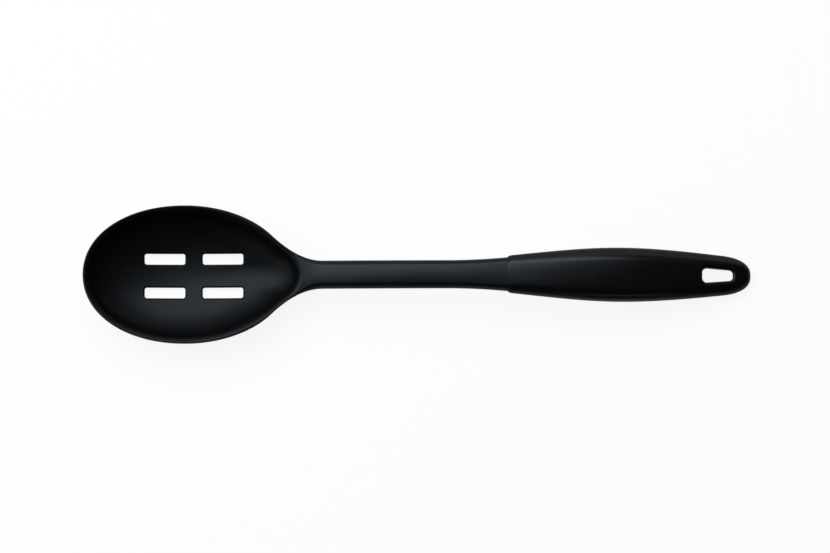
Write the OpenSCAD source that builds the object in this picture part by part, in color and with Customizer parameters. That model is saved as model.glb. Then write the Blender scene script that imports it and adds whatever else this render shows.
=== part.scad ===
// Slotted cooking spoon: a rigid nylon blade, a rigid handle core on its tang, and a soft grip
// moulded over the core. X runs from the bowl's tip to the handle's end, Z is up, and the spoon
// lies as it does on a table: on the bowl's foot and on the underside of the handle's end.
// The origin is on the table, under the middle of the spoon. Millimetres.

/* [Overall] */
// Length of the spoon, tip to end
overall_l = 330; // [300:1:360]

/* [Bowl] */
// Width of the bowl across its rim
bowl_w = 68.4; // [60:0.2:76]
// Tip to the bowl's widest line
bowl_front_l = 50.6; // [44:0.2:56]
// Widest line to where the bowl's ellipse would close
bowl_back_l = 51.1; // [46:0.2:56]
// Height of the rim above the table
rim_z = 19; // [15:0.2:23]
// Thickness of the bowl's wall
bowl_wall = 2.2; // [1.6:0.1:2.8]
// Width of the flat rim
rim_w = 2.2; // [1.6:0.1:3]
// Height of the rim's upright edge
rim_edge_h = 2; // [1.4:0.1:2.6]
// Rounding of the rim's outer edge
rim_round = 0.5; // [0.3:0.1:0.8]
// Depth taken off the bowl's lowest point to make the foot
foot_cut = 0.3; // [0.2:0.05:0.5]

/* [Drain slots] */
// Length of a slot, along the spoon
slot_l = 20.2; // [16:0.2:22]
// Width of a slot
slot_w = 5.5; // [4.6:0.1:6.5]
// Slot to slot along the spoon, between centres
slot_pitch_x = 28.7; // [25:0.1:31]
// Row to row across the spoon, between centres
slot_pitch_y = 16.7; // [13:0.1:20]
// Tip to the middle of the slot pattern
slots_mid = 54.9; // [52:0.1:57]
// Rounding of a slot's corners
slot_corner_r = 0.6; // [0.3:0.1:1.2]

/* [Neck and shaft] */
// How far the bowl's hollow runs past the end of its ellipse, into the neck
hollow_run = 4.3; // [2:0.1:6]
// Radius of the hollow's arc at the neck
neck_arc_r = 10.8; // [8:0.2:14]
// End of the bowl's ellipse to the end of the neck's flare
neck_run = 16.6; // [13:0.2:22]
// Width of the plain shaft
shaft_w = 13.7; // [12:0.1:15]
// Thickness of the shaft
shaft_t = 6.6; // [6:0.1:7.6]
// Rise of the shaft's crowned face at its middle
shaft_crown = 0.4; // [0.3:0.1:1]
// Rounding of the shaft's upper edges
shaft_round = 2.7; // [1.6:0.1:2.8]
// Width of the shaft where the grip begins
shaft_end_w = 16.3; // [15.8:0.1:17]
// Length over which the shaft widens to meet the grip
shaft_taper_l = 28; // [16:1:40]
// Rise of the shaft's upper face where it thickens to meet the grip
shaft_end_rise = 1.4; // [0:0.1:1.6]
// Slope of the neck, in degrees
neck_rise = 8; // [5:0.5:10]
// Slope of the shaft where the grip begins, in degrees
mouth_pitch = -3; // [-4:0.5:-2]

/* [Grip] */
// Length of the grip
grip_l = 120.2; // [112:0.2:130]
// Width of the grip at its widest
grip_w = 26.8; // [24:0.2:30]
// Thickness of the grip at its thickest
grip_t = 17; // [15:0.2:19]
// Lip of the grip to its widest line
grip_swell_l = 55.5; // [50:0.5:62]
// Width of the grip just behind its lip
mouth_w = 18.4; // [18.2:0.1:20]
// Thickness of the grip just behind its lip
mouth_t = 10.4; // [10.2:0.1:12]
// Rounding of the lip
lip_r = 1.1; // [0.7:0.1:1.4]
// Width of the grip where its rounded end begins
cap_w = 19.8; // [19:0.1:22]
// Thickness of the grip where its rounded end begins
cap_t = 10.8; // [10:0.1:12]
// Length of the rounded end
cap_l = 14.5; // [13:0.1:17]
// Slope of the handle at its very end, in degrees
end_pitch = -14; // [-18:0.5:-10]
// Depth of the line along the side swell
swell_line_d = 0.5; // [0.2:0.05:0.7]
// Thickness of the soft skin over the core
skin = 1.6; // [1.4:0.05:1.8]

/* [Hang hole] */
// Length of the hole
hole_l = 15.3; // [12:0.1:16]
// Width of the hole at the end nearer the bowl
hole_w = 7.3; // [6:0.1:8]
// Width of the hole at the handle's end
hole_end_w = 5.6; // [5:0.1:6]
// Rounding of the hole's corners
hole_corner_r = 2.2; // [1.2:0.1:2.4]
// Wall between the hole and the handle's end
hole_end_wall = 8.8; // [8:0.1:11]
// Size of the hole's flared mouth
hole_mouth = 1.1; // [0.6:0.1:1.2]

/* [Tang] */
// Length of the tang inside the handle's core
tang_l = 62; // [40:1:66]
// Width of the tang
tang_w = 11; // [9:0.1:12]
// Thickness of the tang
tang_t = 4.4; // [3.6:0.1:4.6]
// Clearance between the tang and its socket, all round
tang_fit = 0.1; // [0.05:0.01:0.15]
// Room left beyond the tang's tip
socket_spare = 1.5; // [1:0.1:3]
// Thickness of the soft wall in front of the core
front_wall = 3.2; // [2.6:0.1:4]
// Step down from the shaft to the part that the grip's lip closes on
shutoff_step = 0.35; // [0.2:0.05:0.5]
// Diameter of the lock plugs through core and tang
plug_d = 5; // [4:0.1:5.6]
// Core's front face to the first lock plug
plug_first = 20; // [14:0.5:22]
// Lock plug to lock plug
plug_pitch = 22; // [18:0.5:24]

/* [Hidden] */
$fn = 48;
tip_power = 2.1;
neck_blend_power = 10;
neck_spread_share = 0.55;
flare_start_share = 0.82;
depth_blend_power = 4;
bowl_section_power = 2;
shaft_section_power = 2.8;
shaft_edge_share = 0.36;
round_limit_share = 0.4;
mouth_flare_slope = 0.1;
cap_taper_slope = -0.11;
cap_power = 2.3;
cap_side_power = 3;
grip_top_power = 2.5;
grip_under_power = 2.4;
rest_share = 0.7;
swell_line_reach = 33;
swell_line_shift = 8.5;
// Down and up of the side swell: share of the grip's half width, share of the line's depth
swell_shares = [[0.70, 0], [0.78, -0.45], [0.83, -1], [0.88, -0.2], [0.93, 0.8], [0.97, 0.7], [1, 0]];
top_half_shares = [0, 0.22, 0.42, 0.58, 0.70, 0.78, 0.83, 0.88, 0.93, 0.97, 1];
blade_top_shares = [-1, -0.66, -0.33, 0, 0.33, 0.66, 1];
shutoff_round_share = 0.48;
shutoff_t_share = 0.76;
lip_top_share = 0.45;
end_rise_power = 1.5;
round_angles = [22.5, 45, 67.5];
over = 1;
thin = 0.01;
first_angle = 3;
last_angle = 80;

bowl_end = bowl_front_l + bowl_back_l;
hollow_end = bowl_end + hollow_run;
flare_start = bowl_front_l + bowl_back_l * flare_start_share;
neck_end = bowl_end + neck_run;
mouth_s = overall_l - grip_l;
taper_start = mouth_s - shaft_taper_l;
neck_top_z = rim_z + (neck_end - flare_start) * tan(neck_rise) / 2;
mouth_top_z = neck_top_z + (mouth_s - neck_end) * (tan(neck_rise) + tan(mouth_pitch)) / 2;
mouth_mid_z = mouth_top_z - shaft_t / 2;
swell_s = mouth_s + grip_swell_l;
cap_s = overall_l - cap_l;
hole_s = overall_l - hole_end_wall - hole_l;
hole_mid = hole_s + hole_l / 2;
rest_s = cap_s + cap_l * rest_share;
hollow_deep = rim_z - bowl_wall;
under_back_l = bowl_back_l + hollow_run + bowl_wall;

// Places a distance from the tip in the part's own frame
function x_at(s) = s - overall_l / 2;

// Cubic from value a to value b over a run, with the slope at each end
function eased(s, s0, s1, a, b, slope_a = 0, slope_b = 0) =
    let (u = (s - s0) / (s1 - s0), run = s1 - s0)
    a * (1 - 3 * u * u + 2 * u * u * u) + b * (3 * u * u - 2 * u * u * u)
        + run * slope_a * (u - 2 * u * u + u * u * u) + run * slope_b * (u * u * u - u * u);

// Rounded closing of a shape: 1 where it begins, 0 at its end
function closing(share, power) = pow(max(0, 1 - pow(share, power)), 1 / power);

// The lesser of two sizes, with a soft change from one to the other
function soft_min(a, b, power) = pow(pow(a, -power) + pow(b, -power), -1 / power);

// Half width of the bowl without its neck
function bowl_half(s) =
    s < bowl_front_l ? bowl_w / 2 * closing((bowl_front_l - s) / bowl_front_l, tip_power)
    : bowl_w / 2 * closing((s - bowl_front_l) / bowl_back_l, 2);

flare_half = bowl_half(flare_start);
flare_slope = -flare_start_share * bowl_w / 2 / bowl_back_l / closing(flare_start_share, 2);

// Half width of the blade: bowl, flared neck, shaft and the shaft's wider end
function blade_half(s) =
    s < flare_start ? bowl_half(s)
    : s < neck_end ? eased(s, flare_start, neck_end, flare_half, shaft_w / 2, flare_slope)
    : s < taper_start ? shaft_w / 2
    : shaft_w / 2 + (shaft_end_w - shaft_w) / 2 * pow((s - taper_start) / shaft_taper_l, 2);

// Rise of the upper face where the shaft thickens towards the grip
function end_rise(s) = shaft_end_rise * pow(max(0, s - taper_start) / shaft_taper_l, end_rise_power);

// Height of the blade's upper face along its middle
function blade_top(s) =
    s < flare_start ? rim_z
    : s < neck_end ? eased(s, flare_start, neck_end, rim_z, neck_top_z, 0, tan(neck_rise))
    : eased(s, neck_end, mouth_s, neck_top_z, mouth_top_z, tan(neck_rise), tan(mouth_pitch))
        + end_rise(s);

// Depth of the blade's middle under that face
function under_back(s) =
    pow(pow((rim_z + foot_cut) * closing((s - bowl_front_l) / under_back_l, 2), depth_blend_power)
        + pow(shaft_t, depth_blend_power), 1 / depth_blend_power);
function blade_depth(s) =
    s < bowl_front_l ? rim_edge_h + (under_back(bowl_front_l) - rim_edge_h)
        * closing((bowl_front_l - s) / bowl_front_l, tip_power)
    : under_back(min(s, bowl_front_l + under_back_l)) + end_rise(s);

// Goes from 0 on the bowl to 1 on the shaft
function shaft_share(s) =
    s < flare_start ? 0 : s > neck_end ? 1 : eased(s, flare_start, neck_end, 0, 1);
function from_bowl(s, at_bowl, at_shaft) = at_bowl + (at_shaft - at_bowl) * shaft_share(s);

// A point of a flattened or squared ellipse, at an angle from its right end
function round_point(half, height, power, angle) =
    [half * sign(cos(angle)) * pow(abs(cos(angle)), 2 / power),
     height * pow(abs(sin(angle)), 2 / power)];

// Cross-section of the blade: crowned top, rounded edges, upright sides, curved underside
function blade_ring(s, at = undef) =
    let (
        x = x_at(is_undef(at) ? s : at),
        half = blade_half(s),
        top = blade_top(s),
        radius = min(from_bowl(s, rim_round, shaft_round), half * round_limit_share),
        crown = from_bowl(s, 0, shaft_crown),
        side_z = top - crown,
        edge_h = from_bowl(s, rim_edge_h, shaft_t * shaft_edge_share),
        under_z = side_z - max(edge_h, radius) - end_rise(s),
        depth = blade_depth(s) - (top - under_z),
        power = from_bowl(s, bowl_section_power, shaft_section_power),
        flat = half - radius,
        corner = [for (a = round_angles) radius * [1 - sin(a), 1 - cos(a)]]
    )
    concat(
        [for (v = blade_top_shares) [x, v * flat, top - crown * v * v]],
        [for (k = [0:1:2]) [x, half - corner[k][0], side_z - corner[k][1]]],
        [[x, half, side_z - radius]],
        [for (angle = [0:12:180])
            let (p = round_point(half, max(depth, 0), power, angle)) [x, p[0], under_z - p[1]]],
        [[x, -half, side_z - radius]],
        [for (k = [2:-1:0]) [x, corner[k][0] - half, side_z - corner[k][1]]]
    );

// Closed solid through a list of rings that all have the same number of points
module loft(rings) {
    count = len(rings[0]);
    last = len(rings) - 1;
    points = [for (ring = rings) each ring];
    sides = [for (k = [0:last - 1]) for (i = [0:count - 1])
        let (a = k * count + i, b = k * count + (i + 1) % count) each [
            [a, b, b + count],
            [a, b + count, a + count]
        ]];
    start_cap = [[for (i = [count - 1:-1:0]) i]];
    end_cap = [[for (i = [0:count - 1]) last * count + i]];
    polyhedron(points, concat(sides, start_cap, end_cap));
}

// Even steps from one value to another, without the first
function steps(from, to, count) = [for (i = [1:count]) from + (to - from) * i / count];

// Bowl, neck and shaft, before the hollow is taken out
module blade_blank() {
    front = [for (angle = [6:6:90]) bowl_front_l * (1 - cos(angle))];
    back = concat(
        steps(bowl_front_l, flare_start, 9),
        steps(flare_start, neck_end, 12),
        steps(neck_end, taper_start, 7),
        steps(taper_start, mouth_s, 5)
    );
    tip = blade_ring(bowl_front_l * (1 - cos(first_angle)), 0);
    loft(concat([tip], [for (s = concat(front, back)) blade_ring(s)]));
}

// Half width of the bowl's hollow at the rim
function neck_arc_half(s) =
    let (d = max(hollow_end - s, 0)) sqrt(2 * neck_arc_r * d + pow(neck_spread_share * d, 2));
function hollow_half(s) =
    s < bowl_front_l ? (bowl_w / 2 - rim_w)
        * closing((bowl_front_l - s) / (bowl_front_l - rim_w), tip_power)
    : s >= hollow_end ? 0
    : soft_min(blade_half(s) - rim_w, neck_arc_half(s), neck_blend_power);

// Outline of the hollow, round from the tip by the right side
function hollow_outline() =
    let (
        front = [for (angle = [0:7.5:82.5]) bowl_front_l - (bowl_front_l - rim_w) * cos(angle)],
        back = [for (angle = [0:7.5:90]) bowl_front_l + (hollow_end - bowl_front_l) * sin(angle)],
        side = concat(front, back)
    )
    concat(
        [for (s = side) [s - bowl_front_l, -hollow_half(s)]],
        [for (i = [len(side) - 2:-1:1]) [side[i] - bowl_front_l, hollow_half(side[i])]]
    );

// The hollow: its outline shrinks towards the bowl's deepest point as it goes down
module bowl_hollow() {
    outline = hollow_outline();
    function level(share, z) =
        [for (p = outline) [x_at(bowl_front_l) + p[0] * share, p[1] * share, z]];
    levels = concat(
        [level(1, mouth_top_z + over)],
        [for (angle = [90:-8:10]) level(sin(angle), rim_z - hollow_deep * cos(angle))],
        [level(sin(first_angle), rim_z - hollow_deep)]
    );
    loft(levels);
}

// Flat outline with true arcs in its corners
module rounded_slot(l, w, r) {
    square([l - 2 * r, w], center = true);
    square([l, w - 2 * r], center = true);
    for (sx = [-1, 1], sy = [-1, 1])
        translate([sx * (l / 2 - r), sy * (w / 2 - r)])
            circle(r);
}

module drain_slots() {
    for (sx = [-1, 1], sy = [-1, 1])
        translate([x_at(slots_mid + sx * slot_pitch_x / 2), sy * slot_pitch_y / 2, -over])
            linear_extrude(rim_z)
                rounded_slot(slot_l, slot_w, slot_corner_r);
}

// Everything below the table
module below_table() {
    translate([-overall_l, -bowl_w, -rim_z])
        cube([2 * overall_l, 2 * bowl_w, rim_z]);
}

// Puts its children in the tang's frame: X along the tang, from the middle of the grip's mouth
module on_tang() {
    translate([x_at(mouth_s), 0, mouth_mid_z])
        rotate([0, -tang_pitch, 0])
            children();
}

// Bar along the tang, grown by a clearance all round
module bar(from, to, w, t, grow = 0) {
    translate([from, -w / 2 - grow, -t / 2 - grow])
        cube([to - from, w + 2 * grow, t + 2 * grow]);
}

// The stretch of shaft that the grip's lip closes on
module shutoff() {
    w = shaft_end_w - 2 * shutoff_step;
    t = shaft_t * shutoff_t_share;
    on_tang()
        translate([-shaft_t / 2, 0, 0])
            rotate([90, 0, 90])
                linear_extrude(shaft_t / 2 + front_wall)
                    rounded_slot(w, t, t * shutoff_round_share);
}

module lock_plugs(reach) {
    on_tang()
        for (i = [0, 1])
            translate([front_wall + plug_first + i * plug_pitch, 0, -reach])
                cylinder(h = 2 * reach, d = plug_d);
}

module nylon_blade() {
    color("#26272a")
        difference() {
            union() {
                blade_blank();
                shutoff();
                on_tang()
                    bar(0, tang_reach, tang_w, tang_t);
            }
            bowl_hollow();
            drain_slots();
            lock_plugs(grip_t);
            below_table();
        }
}

// Half width of the grip, taken in by an inset
function grip_body_half(s) =
    s < swell_s ? eased(s, mouth_s + lip_r, swell_s, mouth_w / 2, grip_w / 2, mouth_flare_slope)
    : s < cap_s ? eased(s, swell_s, cap_s, grip_w / 2, cap_w / 2, 0, cap_taper_slope)
    : cap_w / 2 + cap_taper_slope * (s - cap_s);
function grip_half(s, inset = 0) =
    (grip_body_half(max(s, mouth_s + lip_r)) - inset)
        * (s > cap_s ? closing((s - cap_s) / (cap_l - inset), cap_power) : 1);

// Half thickness of the grip, taken in by an inset
function grip_body_rise(s) =
    s < swell_s ? eased(s, mouth_s + lip_r, swell_s, mouth_t / 2, grip_t / 2, mouth_flare_slope)
    : s < cap_s ? eased(s, swell_s, cap_s, grip_t / 2, cap_t / 2, 0, cap_taper_slope / 2)
    : cap_t / 2 + cap_taper_slope / 2 * (s - cap_s);
function grip_rise(s, inset = 0) =
    (grip_body_rise(max(s, mouth_s + lip_r)) - inset)
        * (s > cap_s ? closing((s - cap_s) / (cap_l - inset), cap_side_power) : 1);

// Height of the handle's middle: from the shaft down to where the end rests on the table
function handle_arch(s, mouth_z, end_z, slopes = 1) =
    eased(s, mouth_s, overall_l, mouth_z, end_z, slopes * tan(mouth_pitch), slopes * tan(end_pitch));
end_mid_z = (grip_rise(rest_s) - foot_cut - handle_arch(rest_s, mouth_mid_z, 0))
    / handle_arch(rest_s, 0, 1, 0);
function handle_mid(s) = handle_arch(s, mouth_mid_z, end_mid_z);

// The tang is straight, and ends in the middle of the handle
tang_reach = front_wall + tang_l;
tang_pitch = atan((handle_mid(mouth_s + tang_reach) - mouth_mid_z) / tang_reach);

// Depth of the line along the side swell, which fades at both ends
function swell_line(s) =
    let (share = min(1, abs(s - swell_s - swell_line_shift) / swell_line_reach))
    swell_line_d * pow(cos(90 * share), 2);

// Cross-section of the handle: a crowned top with the swell's line, and a rounder underside
function grip_ring(s, inset = 0, line = 0, at = undef, top_inset = undef) =
    let (
        x = x_at(is_undef(at) ? s : at),
        half = grip_half(s, inset),
        rise = grip_rise(s, inset),
        top_rise = grip_rise(s, is_undef(top_inset) ? inset : top_inset),
        mid = handle_mid(is_undef(at) ? s : at),
        shares = concat(
            [for (i = [len(top_half_shares) - 1:-1:1]) -top_half_shares[i]],
            top_half_shares
        )
    )
    concat(
        [for (v = shares)
            let (relief = line * lookup(abs(v), swell_shares))
            [x, v * half, mid + top_rise * closing(abs(v), grip_top_power) + relief]],
        [for (angle = [12:12:168])
            let (p = round_point(half, rise, grip_under_power, angle)) [x, p[0], mid - p[1]]]
    );

// The handle's whole outer form
module grip_blank() {
    lip = [for (angle = [0:22.5:67.5])
        let (inset = lip_r * (1 - sin(angle)))
        grip_ring(mouth_s + lip_r * (1 - cos(angle)), inset, top_inset = inset * lip_top_share)];
    body = concat(
        [mouth_s + lip_r],
        steps(mouth_s + lip_r, swell_s, 11),
        steps(swell_s, cap_s, 12),
        [for (angle = [10:10:70]) cap_s + cap_l * sin(angle)]
    );
    end = grip_ring(cap_s + cap_l * sin(last_angle), 0, 0, overall_l);
    loft(concat(lip, [for (s = body) grip_ring(s, 0, swell_line(s))], [end]));
}

// Outline of the hang hole about its own middle: four true arcs and the straights between them
module hole_outline(grow = 0) {
    r = hole_corner_r + grow;
    reach = hole_l / 2 - hole_corner_r;
    y_wide = hole_w / 2 - hole_corner_r;
    y_end = hole_end_w / 2 - hole_corner_r;
    lean = atan((y_wide - y_end) / (2 * reach));
    upper = [
        [-reach - r, y_wide],
        [r * sin(lean) - reach, y_wide + r * cos(lean)],
        [r * sin(lean) + reach, y_end + r * cos(lean)],
        [reach + r, y_end]
    ];
    polygon(concat(upper, [for (i = [3:-1:0]) [upper[i][0], -upper[i][1]]]));
    for (side = [-1, 1]) {
        translate([-reach, side * y_wide])
            circle(r);
        translate([reach, side * y_end])
            circle(r);
    }
}

// The hang hole from below the table to above the handle
module hang_hole(grow = 0) {
    translate([x_at(hole_mid), 0, -over])
        linear_extrude(mouth_top_z)
            hole_outline(grow);
}

// The flare at a mouth of the hang hole: side 1 is the upper mouth and -1 the lower
module hole_flare(side) {
    function face(s) = handle_mid(s) + side * grip_rise(s);
    slope = (face(hole_mid + over) - face(hole_mid - over)) / (2 * over);
    translate([x_at(hole_mid), 0, face(hole_mid)])
        rotate([0, -atan(slope), 0])
            hull() {
                translate([0, 0, -side * hole_mouth])
                    linear_extrude(thin, center = true)
                        hole_outline($fn = 32);
                translate([0, 0, side * over])
                    linear_extrude(thin, center = true)
                        hole_outline(hole_mouth + over, $fn = 32);
            }
}

// The core before its socket and lock holes: what the soft skin is moulded on
module core_blank() {
    first_s = mouth_s + front_wall - over;
    stations = concat(
        [first_s],
        steps(first_s, swell_s, 8),
        steps(swell_s, cap_s, 8),
        [for (angle = [12:12:72]) cap_s + (cap_l - skin) * sin(angle)]
    );
    end = grip_ring(cap_s + (cap_l - skin) * sin(last_angle), skin, 0, overall_l - skin);
    difference() {
        loft(concat([for (s = stations) grip_ring(s, skin)], [end]));
        on_tang()
            bar(-front_wall, front_wall, grip_w, grip_t);
        hang_hole(skin);
    }
}

module handle_core() {
    color("#3a3b3f")
        difference() {
            core_blank();
            on_tang()
                bar(0, tang_reach + socket_spare, tang_w, tang_t, tang_fit);
            lock_plugs(grip_t);
        }
}

module soft_grip() {
    plug_s = mouth_s + front_wall + plug_first;
    color("#18191b")
        difference() {
            grip_blank();
            difference() {
                core_blank();
                lock_plugs(grip_rise(plug_s) - skin / 2);
            }
            shutoff();
            hang_hole();
            hole_flare(1);
            hole_flare(-1);
            below_table();
        }
}

nylon_blade();
handle_core();
soft_grip();
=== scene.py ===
# %% [markdown]
# # A slotted cooking spoon with a soft grip
#
# The real spoon is three mouldings. A nylon blade carries the bowl, the neck and the shaft, and
# runs on as a tang inside the handle. A rigid core sits on that tang. A soft skin is moulded over
# the core. The blade and the skin are all that shows, so they are made here with finer surfaces
# than the CAD solids have. The hidden core stays the CAD node that it is.
#
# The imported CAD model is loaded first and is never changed. It gives the frame that everything
# is placed in: X runs from the bowl's tip to the handle's end, Z is up, and the table is Z = 0.

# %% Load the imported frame
import math

import bmesh
import bpy
import numpy as np
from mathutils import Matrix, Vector


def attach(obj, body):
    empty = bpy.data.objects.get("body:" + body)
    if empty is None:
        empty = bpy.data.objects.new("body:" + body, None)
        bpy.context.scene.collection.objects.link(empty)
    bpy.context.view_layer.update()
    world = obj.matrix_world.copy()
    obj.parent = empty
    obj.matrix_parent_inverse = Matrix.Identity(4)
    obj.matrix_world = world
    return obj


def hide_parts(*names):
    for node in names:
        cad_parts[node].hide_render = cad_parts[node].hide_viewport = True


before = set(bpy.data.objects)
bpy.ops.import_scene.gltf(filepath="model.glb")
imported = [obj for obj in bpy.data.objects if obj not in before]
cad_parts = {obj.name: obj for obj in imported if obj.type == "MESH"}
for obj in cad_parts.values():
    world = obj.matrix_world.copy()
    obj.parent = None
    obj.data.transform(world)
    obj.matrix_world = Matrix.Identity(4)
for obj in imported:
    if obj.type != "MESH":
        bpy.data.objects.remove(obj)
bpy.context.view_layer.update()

# %% [markdown]
# ## Sizes
#
# Most of these are the named lengths of the CAD source, in millimetres. A few, such as the
# shaft's width, were fitted to the photograph afterwards by some tenths of a millimetre. Lengths
# along the spoon are counted from the bowl's tip, because that is how a maker would measure one.
# `MM` turns them into Blender's metres once, where a mesh is made.

# %% Sizes of the spoon
MM = 0.001
overall_l = 330.0
bowl_w, bowl_front_l, bowl_back_l = 68.4, 50.6, 51.9
rim_z, rim_w, rim_round, rim_round_h = 19.0, 3.0, 0.6, 1.3
rim_edge_h, bowl_wall, foot_cut = 2.0, 2.2, 0.3
hollow_run, neck_arc_r, neck_run = 3.8, 9.5, 15.9
shaft_w, shaft_t, shaft_crown, shaft_round, shaft_round_h = 13.95, 6.6, 0.25, 3.4, 4.4
shaft_end_w, shaft_taper_l, shaft_end_rise, rise_l = 16.7, 28.0, 1.75, 42.0
taper_power, rise_power = 1.8, 1.6
neck_rise = math.tan(math.radians(8.0))
mouth_pitch = math.tan(math.radians(-3.0))

grip_l, grip_w, grip_t, grip_swell_l = 120.2, 26.8, 17.0, 55.5
mouth_w, mouth_t, lip_r, lip_l = 18.7, 10.4, 1.1, 2.2
cap_w, cap_t, cap_l = 19.8, 10.8, 14.5
end_pitch = math.tan(math.radians(-14.0))
swell_line_d, skin = 0.25, 1.6
print(f"{overall_l:.0f} mm long, bowl {bowl_w} mm wide, grip {grip_w} mm wide")

# %% Places and heights that follow from them
flare_share = 0.82
bowl_end = bowl_front_l + bowl_back_l
hollow_end = bowl_end + hollow_run
flare_start = bowl_front_l + bowl_back_l * flare_share
neck_end = bowl_end + neck_run
mouth_s = overall_l - grip_l
taper_start = mouth_s - shaft_taper_l
neck_top_z = rim_z + (neck_end - flare_start) * neck_rise / 2
mouth_top_z = neck_top_z + (mouth_s - neck_end) * (neck_rise + mouth_pitch) / 2
mouth_mid_z = mouth_top_z - shaft_t / 2
hollow_deep = rim_z - bowl_wall
under_back_l = bowl_back_l + hollow_run + bowl_wall
swell_s = mouth_s + grip_swell_l
cap_s = overall_l - cap_l
print(f"grip's mouth at {mouth_s:.1f} mm from the tip, {mouth_top_z:.2f} mm above the table")

# %% [markdown]
# ## Rules of the blade
#
# A spoon is drawn from two curves: its outline from above, and its profile from the side. Both
# are short rules here, so any number of cross-sections can be asked for. `eased` is the cubic that
# a draughtsman's spline gives between two ends. `closing` is a squared ellipse, which rounds the
# tip. `soft_min` and `soft_max` let one shape run into another without a corner.

# %% Rules that the outline and the profile use
ellipse = 2


def eased(s, s0, s1, a, b, slope_a=0.0, slope_b=0.0):
    """Cubic from a to b over a run, with the slope at each end."""
    run = s1 - s0
    u = (s - s0) / run
    ends = a * (1 - 3 * u * u + 2 * u**3) + b * (3 * u * u - 2 * u**3)
    return ends + run * (slope_a * (u - 2 * u * u + u**3) + slope_b * (u**3 - u * u))


def closing(share, power):
    """Rounded closing of a shape: 1 where it begins, 0 at its end."""
    return max(0.0, 1.0 - share**power) ** (1.0 / power)


def soft_min(a, b, power):
    """The lesser of two sizes, with a soft change from one to the other."""
    return (a**-power + b**-power) ** (-1.0 / power)


def soft_max(a, b, power):
    """The greater of two sizes, with the same soft change."""
    return (a**power + b**power) ** (1.0 / power)


def x_at(s):
    """Place on the X axis, in millimetres, of a distance from the tip."""
    return s - overall_l / 2


print(f"halfway to its end, an ellipse keeps {closing(0.5, ellipse):.3f} of its width")

# %% Outline of the blade
tip_power = 2.1


def bowl_half(s):
    """Half width of the bowl without its neck."""
    if s < bowl_front_l:
        return bowl_w / 2 * closing((bowl_front_l - s) / bowl_front_l, tip_power)
    return bowl_w / 2 * closing((s - bowl_front_l) / bowl_back_l, ellipse)


flare_slope = -flare_share * bowl_w / 2 / bowl_back_l / closing(flare_share, ellipse)


def blade_half(s):
    """Half width of bowl, flared neck, shaft and the shaft's wider end."""
    if s < flare_start:
        return bowl_half(s)
    if s < neck_end:
        return eased(s, flare_start, neck_end, bowl_half(flare_start), shaft_w / 2, flare_slope)
    widening = (max(0, s - taper_start) / shaft_taper_l) ** taper_power
    return shaft_w / 2 + (shaft_end_w - shaft_w) / 2 * widening


neck_w = 2 * blade_half(bowl_end)
print(f"bowl {bowl_w} mm wide, neck {neck_w:.1f} mm wide, shaft {shaft_w} mm wide")

# %% Profile of the blade
under_power = 4


def end_rise(s):
    """Rise of the upper face where the shaft thickens to meet the grip."""
    return shaft_end_rise * max(0.0, 1 - (mouth_s - s) / rise_l) ** rise_power


def blade_top(s):
    """Height of the upper face along its middle."""
    if s < flare_start:
        return rim_z
    if s < neck_end:
        return eased(s, flare_start, neck_end, rim_z, neck_top_z, 0, neck_rise)
    level = eased(s, neck_end, mouth_s, neck_top_z, mouth_top_z, neck_rise, mouth_pitch)
    return level + end_rise(s)


def under_back(s):
    """Depth of the blade's middle under its upper face, from the widest line to the grip."""
    share = (min(s, bowl_front_l + under_back_l) - bowl_front_l) / under_back_l
    bowl_deep = (rim_z + foot_cut) * closing(share, ellipse)
    return soft_max(bowl_deep, shaft_t, under_power) + end_rise(s)


def blade_depth(s):
    """The same depth for the whole blade, tip to grip."""
    if s >= bowl_front_l:
        return under_back(s)
    front = closing((bowl_front_l - s) / bowl_front_l, tip_power)
    return rim_edge_h + (under_back(bowl_front_l) - rim_edge_h) * front


print(f"bowl {blade_depth(bowl_front_l):.1f} mm deep, shaft {blade_depth(neck_end):.1f} mm")

# %% [markdown]
# ## Cross-section of the blade
#
# Nylon is moulded with no sharp outer edges. The section has a gently crowned top, corners that
# take over from the crown without a break, upright sides, and a rounded underside. Round the bowl
# the edges' rounding is small, and along the neck it grows to the shaft's. Many thin slices joined
# edge to edge make the solid, which is the plainest way to loft in mesh code and keeps the faces
# in tidy rows. A closed shape whose volume comes out negative is inside out, so `closed_mesh`
# turns it.


# %% Crown and rounding of the upper face
def from_bowl(s, at_bowl, at_shaft):
    """Goes from the bowl's value to the shaft's along the neck."""
    if s < flare_start:
        return at_bowl
    return at_shaft if s > neck_end else eased(s, flare_start, neck_end, at_bowl, at_shaft)


def edge_rounding(s):
    """Width and height of the upper edges' rounding: small round the bowl, full on the shaft."""
    share = from_bowl(s, 0.0, 1.0) ** 2
    width = rim_round + (shaft_round - rim_round) * share
    height = rim_round_h + (shaft_round_h - rim_round_h) * share
    return min(width, blade_half(s) / 2), height


def upper_face_z(s, y):
    """Height of the blade's crowned upper face at a point of its plan."""
    flat = blade_half(s) - edge_rounding(s)[0]
    return blade_top(s) - from_bowl(s, 0.0, shaft_crown) * (y / flat) ** 2


def corner_lean(crown, flat, round_w, round_h):
    """Angle at which the rounded corner takes over from the crown, found in a few rounds."""
    lean = 0.0
    for _ in range(4):
        slope = 2 * crown * (flat + round_w * math.sin(lean)) / flat**2
        lean = math.atan(slope * round_w / round_h)
    return lean


round_w, round_h = edge_rounding(mouth_s)
print(f"the shaft's upper edges are rounded {round_w} mm wide and {round_h} mm high")

# %% One slice of the blade
crown_points, corner_steps, under_step = 25, 12, 3
bowl_under_power, shaft_under_power = 2.0, 2.8


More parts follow.
